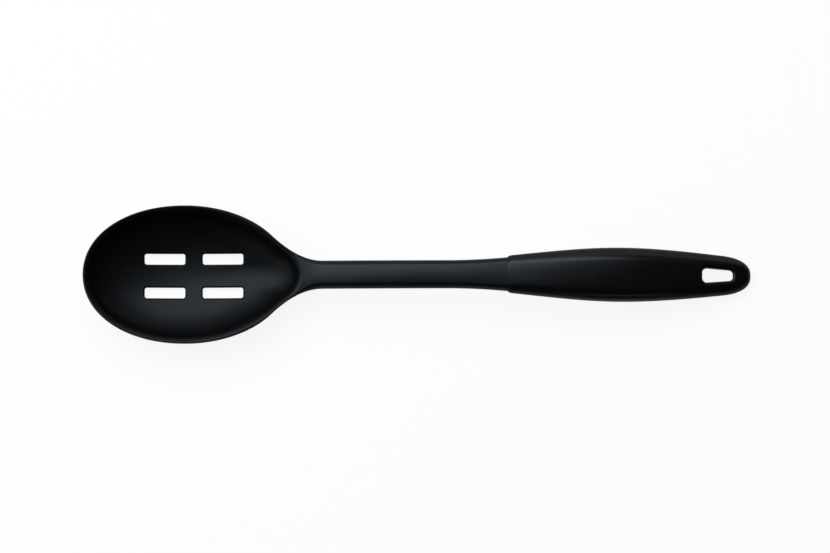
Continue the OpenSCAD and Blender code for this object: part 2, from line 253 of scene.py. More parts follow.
def blade_slice(s, x):
    """Points round the blade at a distance from the tip, placed at x."""
    half, top = blade_half(s), blade_top(s)
    crown = from_bowl(s, 0.0, shaft_crown)
    round_w, round_h = edge_rounding(s)
    flat = half - round_w
    lean = corner_lean(crown, flat, round_w, round_h)
    start = flat + round_w * math.sin(lean)
    corner_z = top - crown * (start / flat) ** 2 - round_h * math.cos(lean)
    under_z = min(corner_z, top - from_bowl(s, rim_edge_h, 0.0)) - end_rise(s)
    depth = max(0.0, blade_depth(s) - (top - under_z))
    power = from_bowl(s, bowl_under_power, shaft_under_power)
    over_top = [(v * start, upper_face_z(s, v * start)) for v in np.linspace(-1, 1, crown_points)]
    turns = [lean + (math.pi / 2 - lean) * k / corner_steps for k in range(1, corner_steps + 1)]
    corner = [(flat + round_w * math.sin(t), corner_z + round_h * math.cos(t)) for t in turns]
    under = []
    for t in np.radians(np.arange(0, 181, under_step)):
        c, d = math.cos(t), abs(math.sin(t))
        y = math.copysign(half * abs(c) ** (2 / power), c)
        under.append((y, under_z - depth * d ** (2 / power)))
    left = [(-y, z) for y, z in reversed(corner)]
    return [(x, y, z) for y, z in over_top + corner + under + left]


print(f"{len(blade_slice(bowl_front_l, 0.0))} points round each slice")


# %% Closed meshes from slices
def placed(name, data):
    """A new object in the scene that holds the data."""
    made = bpy.data.objects.new(name, data)
    bpy.context.scene.collection.objects.link(made)
    return made


def signed_volume(mesh):
    """Volume inside a closed mesh, negative where its faces point inwards."""
    mesh.calc_loop_triangles()
    corners = np.array([mesh.vertices[i].co for t in mesh.loop_triangles for i in t.vertices])
    a, b, c = corners.reshape(-1, 3, 3).transpose(1, 0, 2)
    return float(np.einsum("ij,ij->i", a, np.cross(b, c)).sum() / 6)


def volume(piece):
    """Volume of a piece in cubic millimetres."""
    return signed_volume(piece.data) / MM**3


def closed_mesh(name, rings):
    """A solid through rings of equal length, capped at both ends, with its faces outwards."""
    points = np.array(rings, float)
    layers, count = points.shape[:2]
    faces = []
    for low in range(0, (layers - 1) * count, count):
        for i in range(count):
            j = (i + 1) % count
            faces.append((low + i, low + j, low + count + j, low + count + i))
    faces.append(tuple(range(count))[::-1])
    faces.append(tuple((layers - 1) * count + i for i in range(count)))
    mesh = bpy.data.meshes.new(name)
    mesh.from_pydata((points.reshape(-1, 3) * MM).tolist(), [], faces)
    if signed_volume(mesh) < 0:
        mesh.flip_normals()
    return placed(name, mesh)


print(f"slices are given in millimetres, and meshes are made at {MM} m to the millimetre")


# %% Loft the blade's blank
def even(start, end, count):
    """Even steps from start to end, without the first."""
    return [start + (end - start) * (k + 1) / count for k in range(count)]


def front_s(angle):
    """Distance from the tip, in steps that crowd towards it."""
    return bowl_front_l * (1 - math.cos(math.radians(angle)))


tip_angle, front_step = 1.0, 2.0
stations = [front_s(angle) for angle in np.arange(front_step, 90.1, front_step)]
stations += even(bowl_front_l, flare_start, 30) + even(flare_start, neck_end, 36)
stations += even(neck_end, taper_start, 24) + even(taper_start, mouth_s, 12)
tip = blade_slice(front_s(tip_angle), x_at(0))
blade = closed_mesh("spoon_blade", [tip] + [blade_slice(s, x_at(s)) for s in stations])
print(f"blade blank {volume(blade):.0f} mm3 in {len(blade.data.polygons)} faces")

# %% [markdown]
# ## The bowl's hollow
#
# The inside of the bowl is its own solid, taken out of the blank. Its outline keeps the rim's
# width inside the bowl's outline, and at the neck it runs into a small arc, which shows as the
# dark crescent where the bowl ends. Going down, the outline shrinks towards the deepest point
# as a quarter of an ellipse does. Round the bowl the rim slopes inwards. In the photograph it is
# dark at the top and lit at the bottom, as only an inward slope can be. So the cutter rolls
# outwards over the last of its height and leaves a narrow crest.

# %% Outline of the hollow
arc_spread, arc_blend = 0.55, 10


def hollow_half(s):
    """Half width of the hollow at the rim."""
    if s < bowl_front_l:
        share = (bowl_front_l - s) / (bowl_front_l - rim_w)
        return (bowl_w / 2 - rim_w) * closing(share, tip_power)
    left = max(hollow_end - s, 0.0)
    if left == 0.0:
        return 0.0
    arc = math.sqrt(2 * neck_arc_r * left + (arc_spread * left) ** 2)
    return soft_min(blade_half(s) - rim_w, arc, arc_blend)


quarter = [math.radians(angle) for angle in np.arange(0.0, 90.0, 2.0)]
side = [bowl_front_l - (bowl_front_l - rim_w) * math.cos(t) for t in quarter]
side += [bowl_front_l + (hollow_end - bowl_front_l) * math.sin(t) for t in quarter]
side += [hollow_end]
other_side = [(s, hollow_half(s)) for s in side[-2:0:-1]]
outline = np.array([(s, -hollow_half(s)) for s in side] + other_side)
along = np.roll(outline, -1, axis=0) - np.roll(outline, 1, axis=0)
outward = np.column_stack([along[:, 1], -along[:, 0]]) / np.linalg.norm(along, axis=1)[:, None]
print(f"hollow {hollow_end - rim_w:.1f} mm long, drawn through {len(outline)} points")

# %% Levels of the hollow
inner_edge_r, edge_from, edge_to, edge_step = 4.5, 72, 18, 4
edge_level, clear_h = 80, 5.0


def hollow_level(angle):
    """The outline, drawn in towards the bowl's deepest point, at an angle of the ellipse."""
    share, z = math.sin(math.radians(angle)), rim_z - hollow_deep * math.cos(math.radians(angle))
    return [(x_at(bowl_front_l + (s - bowl_front_l) * share), y * share, z) for s, y in outline]


def hollow_edge(turn):
    """A ring of the rolled inner edge, which starts on the wall's level and ends on the crest."""
    share = math.sin(math.radians(edge_level))
    grow = inner_edge_r * (math.cos(math.radians(edge_to)) - math.cos(turn))
    drop = inner_edge_r * (math.sin(math.radians(edge_from)) - math.sin(turn))
    ring = [bowl_front_l, 0] + (outline - [bowl_front_l, 0]) * share + outward * grow
    return [(x_at(s), y, upper_face_z(min(s, neck_end), y) - drop) for s, y in ring]


edge_rings = [hollow_edge(t) for t in np.radians(np.arange(edge_from, edge_to - 1, -edge_step))]
lid = [(x, y, mouth_top_z + clear_h) for x, y, _ in edge_rings[0]]
deep_angles = [edge_level - 1] + list(np.arange(edge_level - 2.0, 1.9, -2.0))
hollow = closed_mesh("hollow", [lid] + edge_rings + [hollow_level(a) for a in deep_angles])
print(f"the hollow's cutter holds {volume(hollow):.0f} mm3")


# %% Take the hollow out of the blank
def apply_modifiers(piece):
    """Turns what the modifiers make into the piece's own plain mesh."""
    ready = bpy.context.evaluated_depsgraph_get()
    mesh = bpy.data.meshes.new_from_object(piece.evaluated_get(ready))
    piece.modifiers.clear()
    piece.data = mesh


def combine(base, operation, *others):
    """Joins others to base or cuts them out of it, and removes them."""
    for other in others:
        step = base.modifiers.new(other.name, "BOOLEAN")
        step.operation, step.solver, step.object = operation, "MANIFOLD", other
    apply_modifiers(base)
    for other in others:
        bpy.data.objects.remove(other)


combine(blade, "DIFFERENCE", hollow)
print(f"hollowed blade {volume(blade):.0f} mm3")

# %% [markdown]
# ## The tang, and what the grip's lip closes on
#
# Behind the grip's mouth the shaft steps down to a short rounded block, the shut-off that the
# grip's mould closes on, and then to a flat tang with two holes. The soft material runs
# through those holes and locks all three pieces. None of it shows, but a spoon that is taken
# apart has it, so the blade made here has it too. The tang leans with the handle, so its parts are
# made along a straight X axis first and then turned into place.

# %% Rules of the handle
mouth_slope, cap_slope, end_power, end_rise_power = 0.1, -0.11, 2.55, 3.0


def grip_size(s, mouth, widest, cap, slope):
    """Half width or half thickness of the grip before its end is rounded."""
    lip_s = mouth_s + lip_r
    if s < swell_s:
        return eased(max(s, lip_s), lip_s, swell_s, mouth / 2, widest / 2, mouth_slope)
    if s < cap_s:
        return eased(s, swell_s, cap_s, widest / 2, cap / 2, 0, slope)
    return cap / 2 + slope * (s - cap_s)


def rounding(s, inset, power):
    """1 along the grip, falling to 0 round its end."""
    return closing(min(1.0, (s - cap_s) / (cap_l - inset)), power) if s > cap_s else 1.0


def grip_half(s, inset=0.0):
    """Half width of the grip, taken in by an inset."""
    return (grip_size(s, mouth_w, grip_w, cap_w, cap_slope) - inset) * rounding(s, inset, end_power)


def grip_rise(s, inset=0.0):
    """Half thickness of the grip, taken in by an inset."""
    size = grip_size(s, mouth_t, grip_t, cap_t, cap_slope / 2)
    return (size - inset) * rounding(s, inset, end_rise_power)


print(f"grip {2 * grip_half(swell_s):.1f} mm wide and {2 * grip_rise(swell_s):.1f} mm thick")

# %% Middle of the handle, which falls until its end rests on the table
rest_share = 0.7
rest_s = cap_s + cap_l * rest_share
at_rest = eased(rest_s, mouth_s, overall_l, mouth_mid_z, 0, mouth_pitch, end_pitch)
end_mid_z = (grip_rise(rest_s) - foot_cut - at_rest) / eased(rest_s, mouth_s, overall_l, 0, 1)


def handle_mid(s):
    """Height of the handle's middle."""
    return eased(s, mouth_s, overall_l, mouth_mid_z, end_mid_z, mouth_pitch, end_pitch)


front_wall, tang_l, tang_w, tang_t, tang_round = 3.2, 62.0, 11.0, 4.4, 0.6
tang_reach = front_wall + tang_l
tang_pitch = math.atan((handle_mid(mouth_s + tang_reach) - mouth_mid_z) / tang_reach)
print(f"tang falls {math.degrees(-tang_pitch):.2f} degrees, handle's end {end_mid_z:.2f} mm up")

# %% Bars along the tang
sharp_r = 0.01
quarter_turn = np.radians(np.arange(0, 90.1, 11.25))


def on_tang(x, y, z):
    """A point from the tang's own axes into the spoon's, in millimetres."""
    cos, sin = math.cos(tang_pitch), math.sin(tang_pitch)
    return (x_at(mouth_s) + x * cos - z * sin, y, mouth_mid_z + x * sin + z * cos)


def bar(name, start, end, w, t, corner_r=sharp_r):
    """A straight bar along the tang with rounded long edges."""
    ring = []
    for side_y, side_z, first in ((1, 1, 0), (-1, 1, 90), (-1, -1, 180), (1, -1, 270)):
        for turn in quarter_turn + math.radians(first):
            y = side_y * (w / 2 - corner_r) + corner_r * math.cos(turn)
            z = side_z * (t / 2 - corner_r) + corner_r * math.sin(turn)
            ring.append((y, z))
    return closed_mesh(name, [[on_tang(x, y, z) for y, z in ring] for x in (start, end)])


shutoff_w, shutoff_t, shutoff_r = 15.6, 5.0, 2.4


def shutoff(name):
    """The stretch of shaft that the grip's lip closes on."""
    return bar(name, -shaft_t / 2, front_wall, shutoff_w, shutoff_t, shutoff_r)


print(f"shut-off {shutoff_w} x {shutoff_t} mm, tang {tang_w} x {tang_t} mm")

# %% Cutters for the tang's holes and the table
plug_r, plug_first, plug_pitch, plug_sides = 2.5, 20.0, 22.0, 48


def lock_plugs(name, reach):
    """The two round plugs that cross the tang, each a slim prism with many sides."""
    turns = [2 * math.pi * k / plug_sides for k in range(plug_sides)]
    made = []
    for k in range(2):
        x = front_wall + plug_first + k * plug_pitch
        rings = [
            [on_tang(x + plug_r * math.cos(t), plug_r * math.sin(t), z) for t in turns]
            for z in (-reach, reach)
        ]
        made.append(closed_mesh(f"{name}_{k}", rings))
    return made


def under_table(name):
    """Everything below the table, which flattens what the spoon rests on."""
    corners = ((-bowl_w, -rim_z), (bowl_w, -rim_z), (bowl_w, 0.0), (-bowl_w, 0.0))
    ends = (-overall_l, overall_l)
    return closed_mesh(name, [[(x, y, z) for y, z in corners] for x in ends])


print(f"plugs {2 * plug_r} mm thick, {plug_pitch} mm apart")

# %% Give the blade its tang
tang = bar("tang", 0.0, tang_reach, tang_w, tang_t, tang_round)
combine(blade, "UNION", shutoff("shutoff"), tang)
combine(blade, "DIFFERENCE", *lock_plugs("tang_hole", grip_t), under_table("table_cut"))
print(f"blade with tang {volume(blade):.0f} mm3")

# %% [markdown]
# ## Writing node trees as sums
#
# The next pieces come from Geometry Nodes. A tree with dozens of Math nodes is hard to read when
# each one is added by hand. Here a socket is wrapped in a `Field` that can be added, multiplied
# and raised to a power in plain Python, and each such step adds the node it needs.


# %% A socket that takes part in sums
class Field:
    """A node's output. The node's other outputs are read with brackets."""

    def __init__(self, tree, socket):
        self.tree, self.socket = tree, socket

    def __getitem__(self, name):
        return Field(self.tree, self.socket.node.outputs[name])

    def math(self, operation, other=None):
        """A Math node on this field, and on another field or number."""
        return self.tree.add("ShaderNodeMath", {0: self, 1: other}, operation=operation)

    def __add__(self, other):
        return self.math("ADD", other)

    def __sub__(self, other):
        return self.math("SUBTRACT", other)

    def __mul__(self, other):
        return self.math("MULTIPLY", other)

    def __truediv__(self, other):
        return self.math("DIVIDE", other)

    def __pow__(self, other):
        return self.math("POWER", other)

    def __rsub__(self, other):
        return self * -1.0 + other

    def __rtruediv__(self, other):
        return self**-1.0 * other


print("a Field takes + - * / and **, and math() for the other operations")

# %% A tree with named inputs
node_step, row_step, nodes_in_row = 200, 260, 12


class Tree:
    """A Geometry Nodes tree with named inputs."""

    def __init__(self, name, inputs):
        self.group = bpy.data.node_groups.new(name, "GeometryNodeTree")
        self.sockets = {label: self.socket(label, "INPUT", kind) for label, kind in inputs.items()}
        self.socket("Geometry", "OUTPUT", "Geometry")
        self.start = self.group.nodes.new("NodeGroupInput")

    def socket(self, label, in_out, kind):
        """A new input or output of the whole tree."""
        kind = "NodeSocket" + kind
        return self.group.interface.new_socket(label, in_out=in_out, socket_type=kind)

    def value(self, label):
        """One of the tree's inputs, as a field."""
        return Field(self, self.start.outputs[label])

    def add(self, kind, inputs=None, **settings):
        """A new node. Fields are linked to its inputs, and other values are set on them."""
        made = self.group.nodes.new(kind)
        row, column = divmod(len(self.group.nodes), nodes_in_row)
        made.location = (node_step * column, -row_step * row)
        for name, value in settings.items():
            setattr(made, name, value)
        for name, value in (inputs or {}).items():
            if isinstance(value, Field):
                self.group.links.new(value.socket, made.inputs[name])
            elif value is not None:
                made.inputs[name].default_value = value
        return Field(self, made.outputs[0]) if made.outputs else None

    def finish(self, geometry, material):
        """Ends the tree as the export needs it: real faces, with their material."""
        real = self.add("GeometryNodeRealizeInstances", {"Geometry": geometry})
        done = self.add("GeometryNodeSetMaterial", {"Geometry": real, "Material": material})
        self.add("NodeGroupOutput", {"Geometry": done})


def run_tree(piece, tree, values):
    """Gives the tree its inputs by socket identifier and turns its result into a plain mesh."""
    step = piece.modifiers.new(tree.group.name, "NODES")
    step.node_group = tree.group
    for label, value in values.items():
        step[tree.sockets[label].identifier] = value
    apply_modifiers(piece)


print(f"trees are laid out {nodes_in_row} nodes to a row")

# %% [markdown]
# ## Holes whose mouths follow the surface
#
# The four drain slots and the hang hole are one idea: a rounded outline goes straight through
# a curved wall, and the wall rolls over into it with a small even radius. One tree makes
# both. It rolls a grid of points up into a cutter, sets one on each point of a pattern, and casts
# a ray from every point of a mouth to the surface, so that the rounding keeps its depth
# although the bowl rises along a slot. Then it cuts. The outline is a trapezoid with
# filleted corners, because the hang hole is a little narrower at the handle's end.

# %% Tree for the holes: its inputs
sizes = ("Length", "Near width", "Far width", "Corner radius", "Mouth radius", "Spacing")
counts = ("Corner steps", "Mouth steps", "Columns", "Rows")
inputs = {"Piece": "Geometry", **{label: "Float" for label in sizes}}
inputs.update({label: "Int" for label in counts})
inputs.update({"Pitch along": "Float", "Pitch across": "Float"})
inputs.update({"Middle": "Vector", "Material": "Material"})
holes = Tree("Holes with rolled mouths", inputs)
print(f"{holes.group.name}: {len(inputs)} inputs")


# %% Tree for the holes: the outline
def hole_outline(tree):
    """A trapezoid with filleted corners, and with points added along its straight sides."""
    value, add = tree.value, tree.add
    sides = {"Bottom Width": value("Near width"), "Top Width": value("Far width")}
    sides.update({"Offset": 0.0, "Height": value("Length")})
    flat = add("GeometryNodeCurvePrimitiveQuadrilateral", sides, mode="TRAPEZOID")
    turned = add("GeometryNodeTransform", {"Geometry": flat, "Rotation": (0, 0, -math.pi / 2)})
    corner = {"Curve": turned, "Count": value("Corner steps"), "Radius": value("Corner radius")}
    rounded = add("GeometryNodeFilletCurve", {**corner, "Limit Radius": True}, mode="POLY")
    points = add("GeometryNodeAttributeDomainSize", {"Geometry": rounded}, component="CURVE")
    place = add("GeometryNodeInputPosition")
    following = (add("GeometryNodeInputIndex") + 1).math("MODULO", points)
    following = {"Value": place, "Index": following}
    following = add("GeometryNodeFieldAtIndex", following, data_type="FLOAT_VECTOR")
    run = add("ShaderNodeVectorMath", {0: following, 1: place}, operation="DISTANCE")["Value"]
    cuts = (run / value("Spacing")).math("FLOOR")
    return add("GeometryNodeSubdivideCurve", {"Curve": rounded, "Cuts": cuts})


hole_curve = hole_outline(holes)
print(f"{holes.group.name}: {len(holes.group.nodes)} nodes with its outline")

# %% Tree for the holes: the rolled cutter
mouth_turn, cutter_reach = math.radians(80), 4 * MM


def rolled_cutter(tree, outline):
    """A grid rolled up round the outline, and wider at both mouths.

    It has a row for each ring of the cutter and a column for each point of the outline. How far
    each point is to lie over or under the wall is stored as `height`, for `fitted` to read.
    """
    value, add = tree.value, tree.add
    count = add("GeometryNodeAttributeDomainSize", {"Geometry": outline}, component="CURVE")
    steps = value("Mouth steps")
    rings = (steps + 3) * 2
    size = {"Size X": rings - 1, "Size Y": count, "Vertices X": rings, "Vertices Y": count + 1}
    grid = add("GeometryNodeMeshGrid", size)
    place = add("GeometryNodeInputPosition")
    spot = add("ShaderNodeSeparateXYZ", {"Vector": place})
    ring = (spot["X"] + (rings - 1) / 2).math("ROUND")
    point = (spot["Y"] + count / 2).math("ROUND").math("MODULO", count)
    upper = ring.math("LESS_THAN", rings / 2)
    step = upper * ring + (1 - upper) * (rings - 1 - ring)
    opened = step.math("GREATER_THAN", 0.5)
    beyond = step.math("LESS_THAN", 1.5)
    turn = (1 - ((step - 2) / steps).math("MAXIMUM", 0.0)) * mouth_turn
    grow = value("Mouth radius") * (1 - turn.math("COSINE"))
    drop = value("Mouth radius") * (1 - turn.math("SINE"))

    def at_point(field):
        sample = {"Geometry": outline, "Value": field, "Index": point}
        sampled = add("GeometryNodeSampleIndex", sample, data_type="FLOAT_VECTOR")
        return add("ShaderNodeSeparateXYZ", {"Vector": sampled})

    here, heading = at_point(place), at_point(add("GeometryNodeInputTangent"))
    x = (here["X"] + heading["Y"] * grow) * opened
    y = (here["Y"] - heading["X"] * grow) * opened
    rolled = add("ShaderNodeCombineXYZ", {"X": x, "Y": y, "Z": upper - 0.5})
    height = beyond * cutter_reach - (1 - beyond) * drop
    named = {"Geometry": grid, "Name": "height", "Value": height * (upper * 2 - 1)}
    cutter = add("GeometryNodeStoreNamedAttribute", named)
    return add("GeometryNodeSetPosition", {"Geometry": cutter, "Position": rolled})


one_cutter = rolled_cutter(holes, hole_curve)
print(f"{holes.group.name}: {len(holes.group.nodes)} nodes with its cutter")

# %% Tree for the holes: the pattern and the fit
ray_l, hole_weld = 2.0, 1e-7


def on_pattern(tree, cutter):
    """One cutter on each point of a grid of points, all in one mesh."""
    value, add = tree.value, tree.add
    pattern = {
        "Size X": value("Pitch along") * (value("Columns") - 1),
        "Size Y": value("Pitch across") * (value("Rows") - 1),
        "Vertices X": value("Columns"),
        "Vertices Y": value("Rows"),
    }
    points = add("GeometryNodeMeshGrid", pattern)
    points = add("GeometryNodeTransform", {"Geometry": points, "Translation": value("Middle")})
    cutters = add("GeometryNodeInstanceOnPoints", {"Points": points, "Instance": cutter})
    return add("GeometryNodeRealizeInstances", {"Geometry": cutters})


def fitted(tree, cutters):
    """Sets each point of the cutters at its height over or under the wall that a ray finds."""
    add = tree.add
    spot = add("ShaderNodeSeparateXYZ", {"Vector": add("GeometryNodeInputPosition")})
    facing = spot["Z"].math("GREATER_THAN", 0.0) * 2 - 1
    outside = add("ShaderNodeCombineXYZ", {"X": spot["X"], "Y": spot["Y"], "Z": facing})
    inwards = add("ShaderNodeCombineXYZ", {"X": 0.0, "Y": 0.0, "Z": facing * -1})
    ray = {"Target Geometry": tree.value("Piece"), "Ray Length": ray_l}
    ray.update({"Source Position": outside, "Ray Direction": inwards})
    wall = add("ShaderNodeSeparateXYZ", {"Vector": add("GeometryNodeRaycast", ray)["Hit Position"]})
    height = add("GeometryNodeInputNamedAttribute", {"Name": "height"}, data_type="FLOAT")
    place = {"X": spot["X"], "Y": spot["Y"], "Z": wall["Z"] + height}
    place = add("ShaderNodeCombineXYZ", place)
    cutters = add("GeometryNodeSetPosition", {"Geometry": cutters, "Position": place})
    return add("GeometryNodeMergeByDistance", {"Geometry": cutters, "Distance": hole_weld})


all_cutters = fitted(holes, on_pattern(holes, one_cutter))
print(f"{holes.group.name}: {len(holes.group.nodes)} nodes with its pattern")

# %% Tree for the holes: the cut
cut = {"Mesh 1": holes.value("Piece"), "Mesh 2": all_cutters}
cut = holes.add("GeometryNodeMeshBoolean", cut, operation="DIFFERENCE", solver="MANIFOLD")
holes.finish(cut, holes.value("Material"))
print(f"{holes.group.name}: {len(holes.group.nodes)} nodes in all")


# %% Cut the four drain slots
def named_material(name):
    """A new material, ready for its nodes."""
    made = bpy.data.materials.new(name)
    made.use_nodes = True
    return made


nylon = named_material("satin_nylon")
slot_l, slot_w, slot_corner_r, slot_mouth_r = 20.0, 5.25, 1.1, 0.9
slots_mid, slot_pitch, slot_row_pitch = 54.8, 28.7, 16.7
run_tree(blade, holes, {
    "Length": slot_l * MM, "Near width": slot_w * MM, "Far width": slot_w * MM,
    "Corner radius": slot_corner_r * MM, "Corner steps": 8,
    "Mouth radius": slot_mouth_r * MM, "Mouth steps": 5, "Spacing": 0.7 * MM,
    "Columns": 2, "Rows": 2, "Pitch along": slot_pitch * MM, "Pitch across": slot_row_pitch * MM,
    "Middle": (x_at(slots_mid) * MM, 0.0, 0.0), "Material": nylon,
})
print(f"slotted blade {volume(blade):.0f} mm3")

# %% [markdown]
# ## The handle, swept by a rule
#
# The handle is one section swept along an arched spine, and growing and shrinking on the way. That
# is a rule, so Geometry Nodes make it. Plain Python lays out the spine as a row of points that
# carry their half width, half thickness, lift of the top and depth of the side line. The tree
# rolls a grid round them. Each grid point finds its station by its place along X and its angle by
# its place along Y, and a squared ellipse gives the section. Two curves in the tree add the
# section's finer relief: the faint shoulder of the top, and the raised band that runs along each
# side of the grip, which catches a thin second highlight in the photograph.
#
# At the mouth the sides roll in to a rounded lip. The lift holds the top up there, so that seen
# from the side the grip starts nearly level with the shaft.

# %% Stations of the spine
line_shift, line_reach, lip_fall = 2.0, 46.0, 0.1


def swell_line(s):
    """Depth of the side line, which fades at both ends."""
    share = min(1.0, abs(s - swell_s - line_shift) / line_reach)
    return swell_line_d * math.cos(math.pi / 2 * share) ** 2


def station(s, inset, lift=0.0, line=0.0):
    """One point of the spine: x, middle, half width, half thickness, lift of the top, line."""
    return (x_at(s), handle_mid(s), grip_half(s, inset), grip_rise(s, inset), lift, line)


def pole(s):
    """A station of no size, which closes an end of the spine."""
    return (x_at(s), handle_mid(s), 0.0, 0.0, 0.0, 0.0)


def end_stations(inset, step):
    """Stations round the handle's end, the last of them its pole."""
    turns = np.radians(np.arange(step, 90, step))
    rows = [station(cap_s + (cap_l - inset) * math.sin(t), inset) for t in turns]
    return rows + [pole(overall_l - inset)]


def lip_station(s, inset):
    """Near the mouth the sides are taken in by the inset, but the top falls only a little."""
    lift = inset - lip_fall * max(0.0, mouth_s + lip_r - s)
    return station(s, inset, lift, swell_line(s))


print(f"side line {swell_line(swell_s):.2f} mm deep, {swell_line(mouth_s):.2f} mm at the mouth")


# %% Spine of the handle
def spine(name, rows):
    """A row of points that carry what their stations say."""
    mesh = bpy.data.meshes.new(name)
    mesh.from_pydata([(x * MM, 0.0, mid * MM) for x, mid, *_ in rows], [], [])
    for index, label in enumerate(("half", "rise", "lift", "line"), 2):
        values = mesh.attributes.new(label, "FLOAT", "POINT")
        values.data.foreach_set("value", [row[index] * MM for row in rows])
    return placed(name, mesh)


rows = [pole(mouth_s)]
for turn in np.radians(np.arange(0, 90, 7.5)):
    rows.append(lip_station(mouth_s + lip_l * (1 - math.cos(turn)), lip_r * (1 - math.sin(turn))))
body = [mouth_s + lip_l] + even(mouth_s + lip_l, swell_s, 46) + even(swell_s, cap_s, 44)
rows += [lip_station(s, 0.0) for s in body] + end_stations(0.0, 3)
grip = spine("soft_skin", rows)
print(f"spine of {len(rows)} stations")

# %% Relief across the section: how far out, and how high from -1 to 1
line_curve = (
    (0.58, 0), (0.66, 0.15), (0.73, 0.45), (0.77, 0.3), (0.82, -0.55), (0.87, -0.25), (0.94, 0.5),
)
shoulder_curve = (
    (0.1, 0), (0.25, 0.12), (0.35, 0.28), (0.45, 0.56), (0.53, 0.85),
    (0.6, 1), (0.7, 0.78), (0.8, 0.4), (0.9, 0.1),
)


def relief(out, curve):
    """A height from -1 to 1 that a curve draws across the section."""
    made = out.tree.add("ShaderNodeFloatCurve", {"Value": out})
    mapping = made.socket.node.mapping
    mapping.curves[0].points[0].location = (0, 0.5)
    mapping.curves[0].points[1].location = (1, 0.5)
    for share, height in curve:
        mapping.curves[0].points.new(share, 0.5 + height / 2)
    mapping.update()
    return (made - 0.5) * 2


print(f"relief drawn through {len(line_curve)} and {len(shoulder_curve)} points")

# %% Tree for the sweep
sweep_weld = 2e-6


def sweep_tree():
    """Sweeps a squared ellipse along a spine whose points carry its sizes."""
    tree = Tree("Handle sweep", {
        "Spine": "Geometry", "Steps round": "Int", "Top squareness": "Float",
        "Underside squareness": "Float", "Shoulder": "Float", "Material": "Material",
    })
    value, add = tree.value, tree.add
    count = add("GeometryNodeAttributeDomainSize", {"Geometry": value("Spine")})
    size = {"Size X": count - 1, "Size Y": 2 * math.pi, "Vertices X": count}
    grid = add("GeometryNodeMeshGrid", {**size, "Vertices Y": value("Steps round") + 1})
    place = add("GeometryNodeInputPosition")
    spot = add("ShaderNodeSeparateXYZ", {"Vector": place})
    row = (spot["X"] + (count - 1) / 2).math("ROUND")

    def at_station(field, kind):
        sample = {"Geometry": value("Spine"), "Value": field, "Index": row}
        return add("GeometryNodeSampleIndex", sample, data_type=kind)

    def stored(label):
        named = add("GeometryNodeInputNamedAttribute", {"Name": label}, data_type="FLOAT")
        return at_station(named, "FLOAT")

    cos, sin = spot["Y"].math("COSINE"), spot["Y"].math("SINE")
    on_top = sin.math("GREATER_THAN", 0.0)
    under = value("Underside squareness")
    power = 2 / (under + (value("Top squareness") - under) * on_top)
    out = cos.math("ABSOLUTE") ** power
    up = sin.math("ABSOLUTE") ** power * sin.math("SIGN")
    rise = stored("rise")
    shoulder = relief(out, shoulder_curve) * rise * value("Shoulder")
    shaped = relief(out, line_curve) * stored("line") + shoulder
    middle = add("ShaderNodeSeparateXYZ", {"Vector": at_station(place, "FLOAT_VECTOR")})
    y = stored("half") * out * cos.math("SIGN")
    z = middle["Z"] + rise * up + (stored("lift") * up + shaped) * on_top
    rolled = add("ShaderNodeCombineXYZ", {"X": middle["X"], "Y": y, "Z": z})
    swept = add("GeometryNodeSetPosition", {"Geometry": grid, "Position": rolled})
    swept = add("GeometryNodeMergeByDistance", {"Geometry": swept, "Distance": sweep_weld})
    tree.finish(add("GeometryNodeFlipFaces", {"Mesh": swept}), value("Material"))
    return tree


sweep = sweep_tree()
print(f"{sweep.group.name}: {len(sweep.group.nodes)} nodes")

# %% Sweep the grip
elastomer = named_material("soft_elastomer")
section = {"Top squareness": 2.5, "Underside squareness": 2.4, "Material": elastomer}
run_tree(grip, sweep, {"Steps round": 240, "Shoulder": 0.055, **section})
print(f"grip blank {volume(grip):.0f} mm3 in {len(grip.data.polygons)} faces")

# %% [markdown]
# ## Making the skin hollow
#
# The skin is a little over a millimetre and a half thick. The same tree, run on a spine that is
# taken in by that much, gives what the skin was moulded on. It is trimmed square to the tang at its
# front, and keeps clear of the hang hole, so that soft material lines the hole from face to face.

# %% What the skin is moulded on
trim_over = 1.0
first_s = mouth_s + front_wall - trim_over
rows = [pole(first_s), station(first_s, skin)]
rows += [station(s, skin) for s in even(first_s, swell_s, 20) + even(swell_s, cap_s, 20)]
rows += end_stations(skin, 6)
inside = spine("skin_inside", rows)
run_tree(inside, sweep, {"Steps round": 96, "Shoulder": 0.0, **section})
print(f"skin moulded on {volume(inside):.0f} mm3")

# %% Room for the hang hole
hole_l, hole_w, hole_end_w, hole_corner_r, hole_end_wall = 15.2, 7.3, 5.5, 2.2, 8.8
hole_mid = overall_l - hole_end_wall - hole_l / 2
reach = hole_l / 2 - hole_corner_r


def hole_ring(grow, z):
    """Outline of the hang hole, grown by so much, at one height."""
    points = []
    far, near = (reach, hole_end_w / 2 - hole_corner_r), (-reach, hole_w / 2 - hole_corner_r)
    corners = ((*far, -1, -90), (*far, 1, 0), (*near, 1, 90), (*near, -1, 180))
    for x, y, side_y, first in corners:
        for t in np.radians(first + np.arange(0, 90.1, 9)):
            r = hole_corner_r + grow
            points.append((x_at(hole_mid) + x + r * math.cos(t), y * side_y + r * math.sin(t), z))
    return points


eye = closed_mesh("eye", [hole_ring(skin, -clear_h), hole_ring(skin, mouth_top_z)])
print(f"hang hole's middle {hole_mid:.1f} mm from the tip")

# %% Hollow out the skin
front_trim = bar("front_trim", -front_wall, front_wall, grip_w, grip_t)
plug_reach = grip_rise(mouth_s + front_wall + plug_first) - skin / 2
combine(inside, "DIFFERENCE", eye, front_trim, *lock_plugs("plug", plug_reach))
combine(grip, "DIFFERENCE", inside, shutoff("grip_mouth"), under_table("table_cut"))
print(f"hollow skin {volume(grip):.0f} mm3")

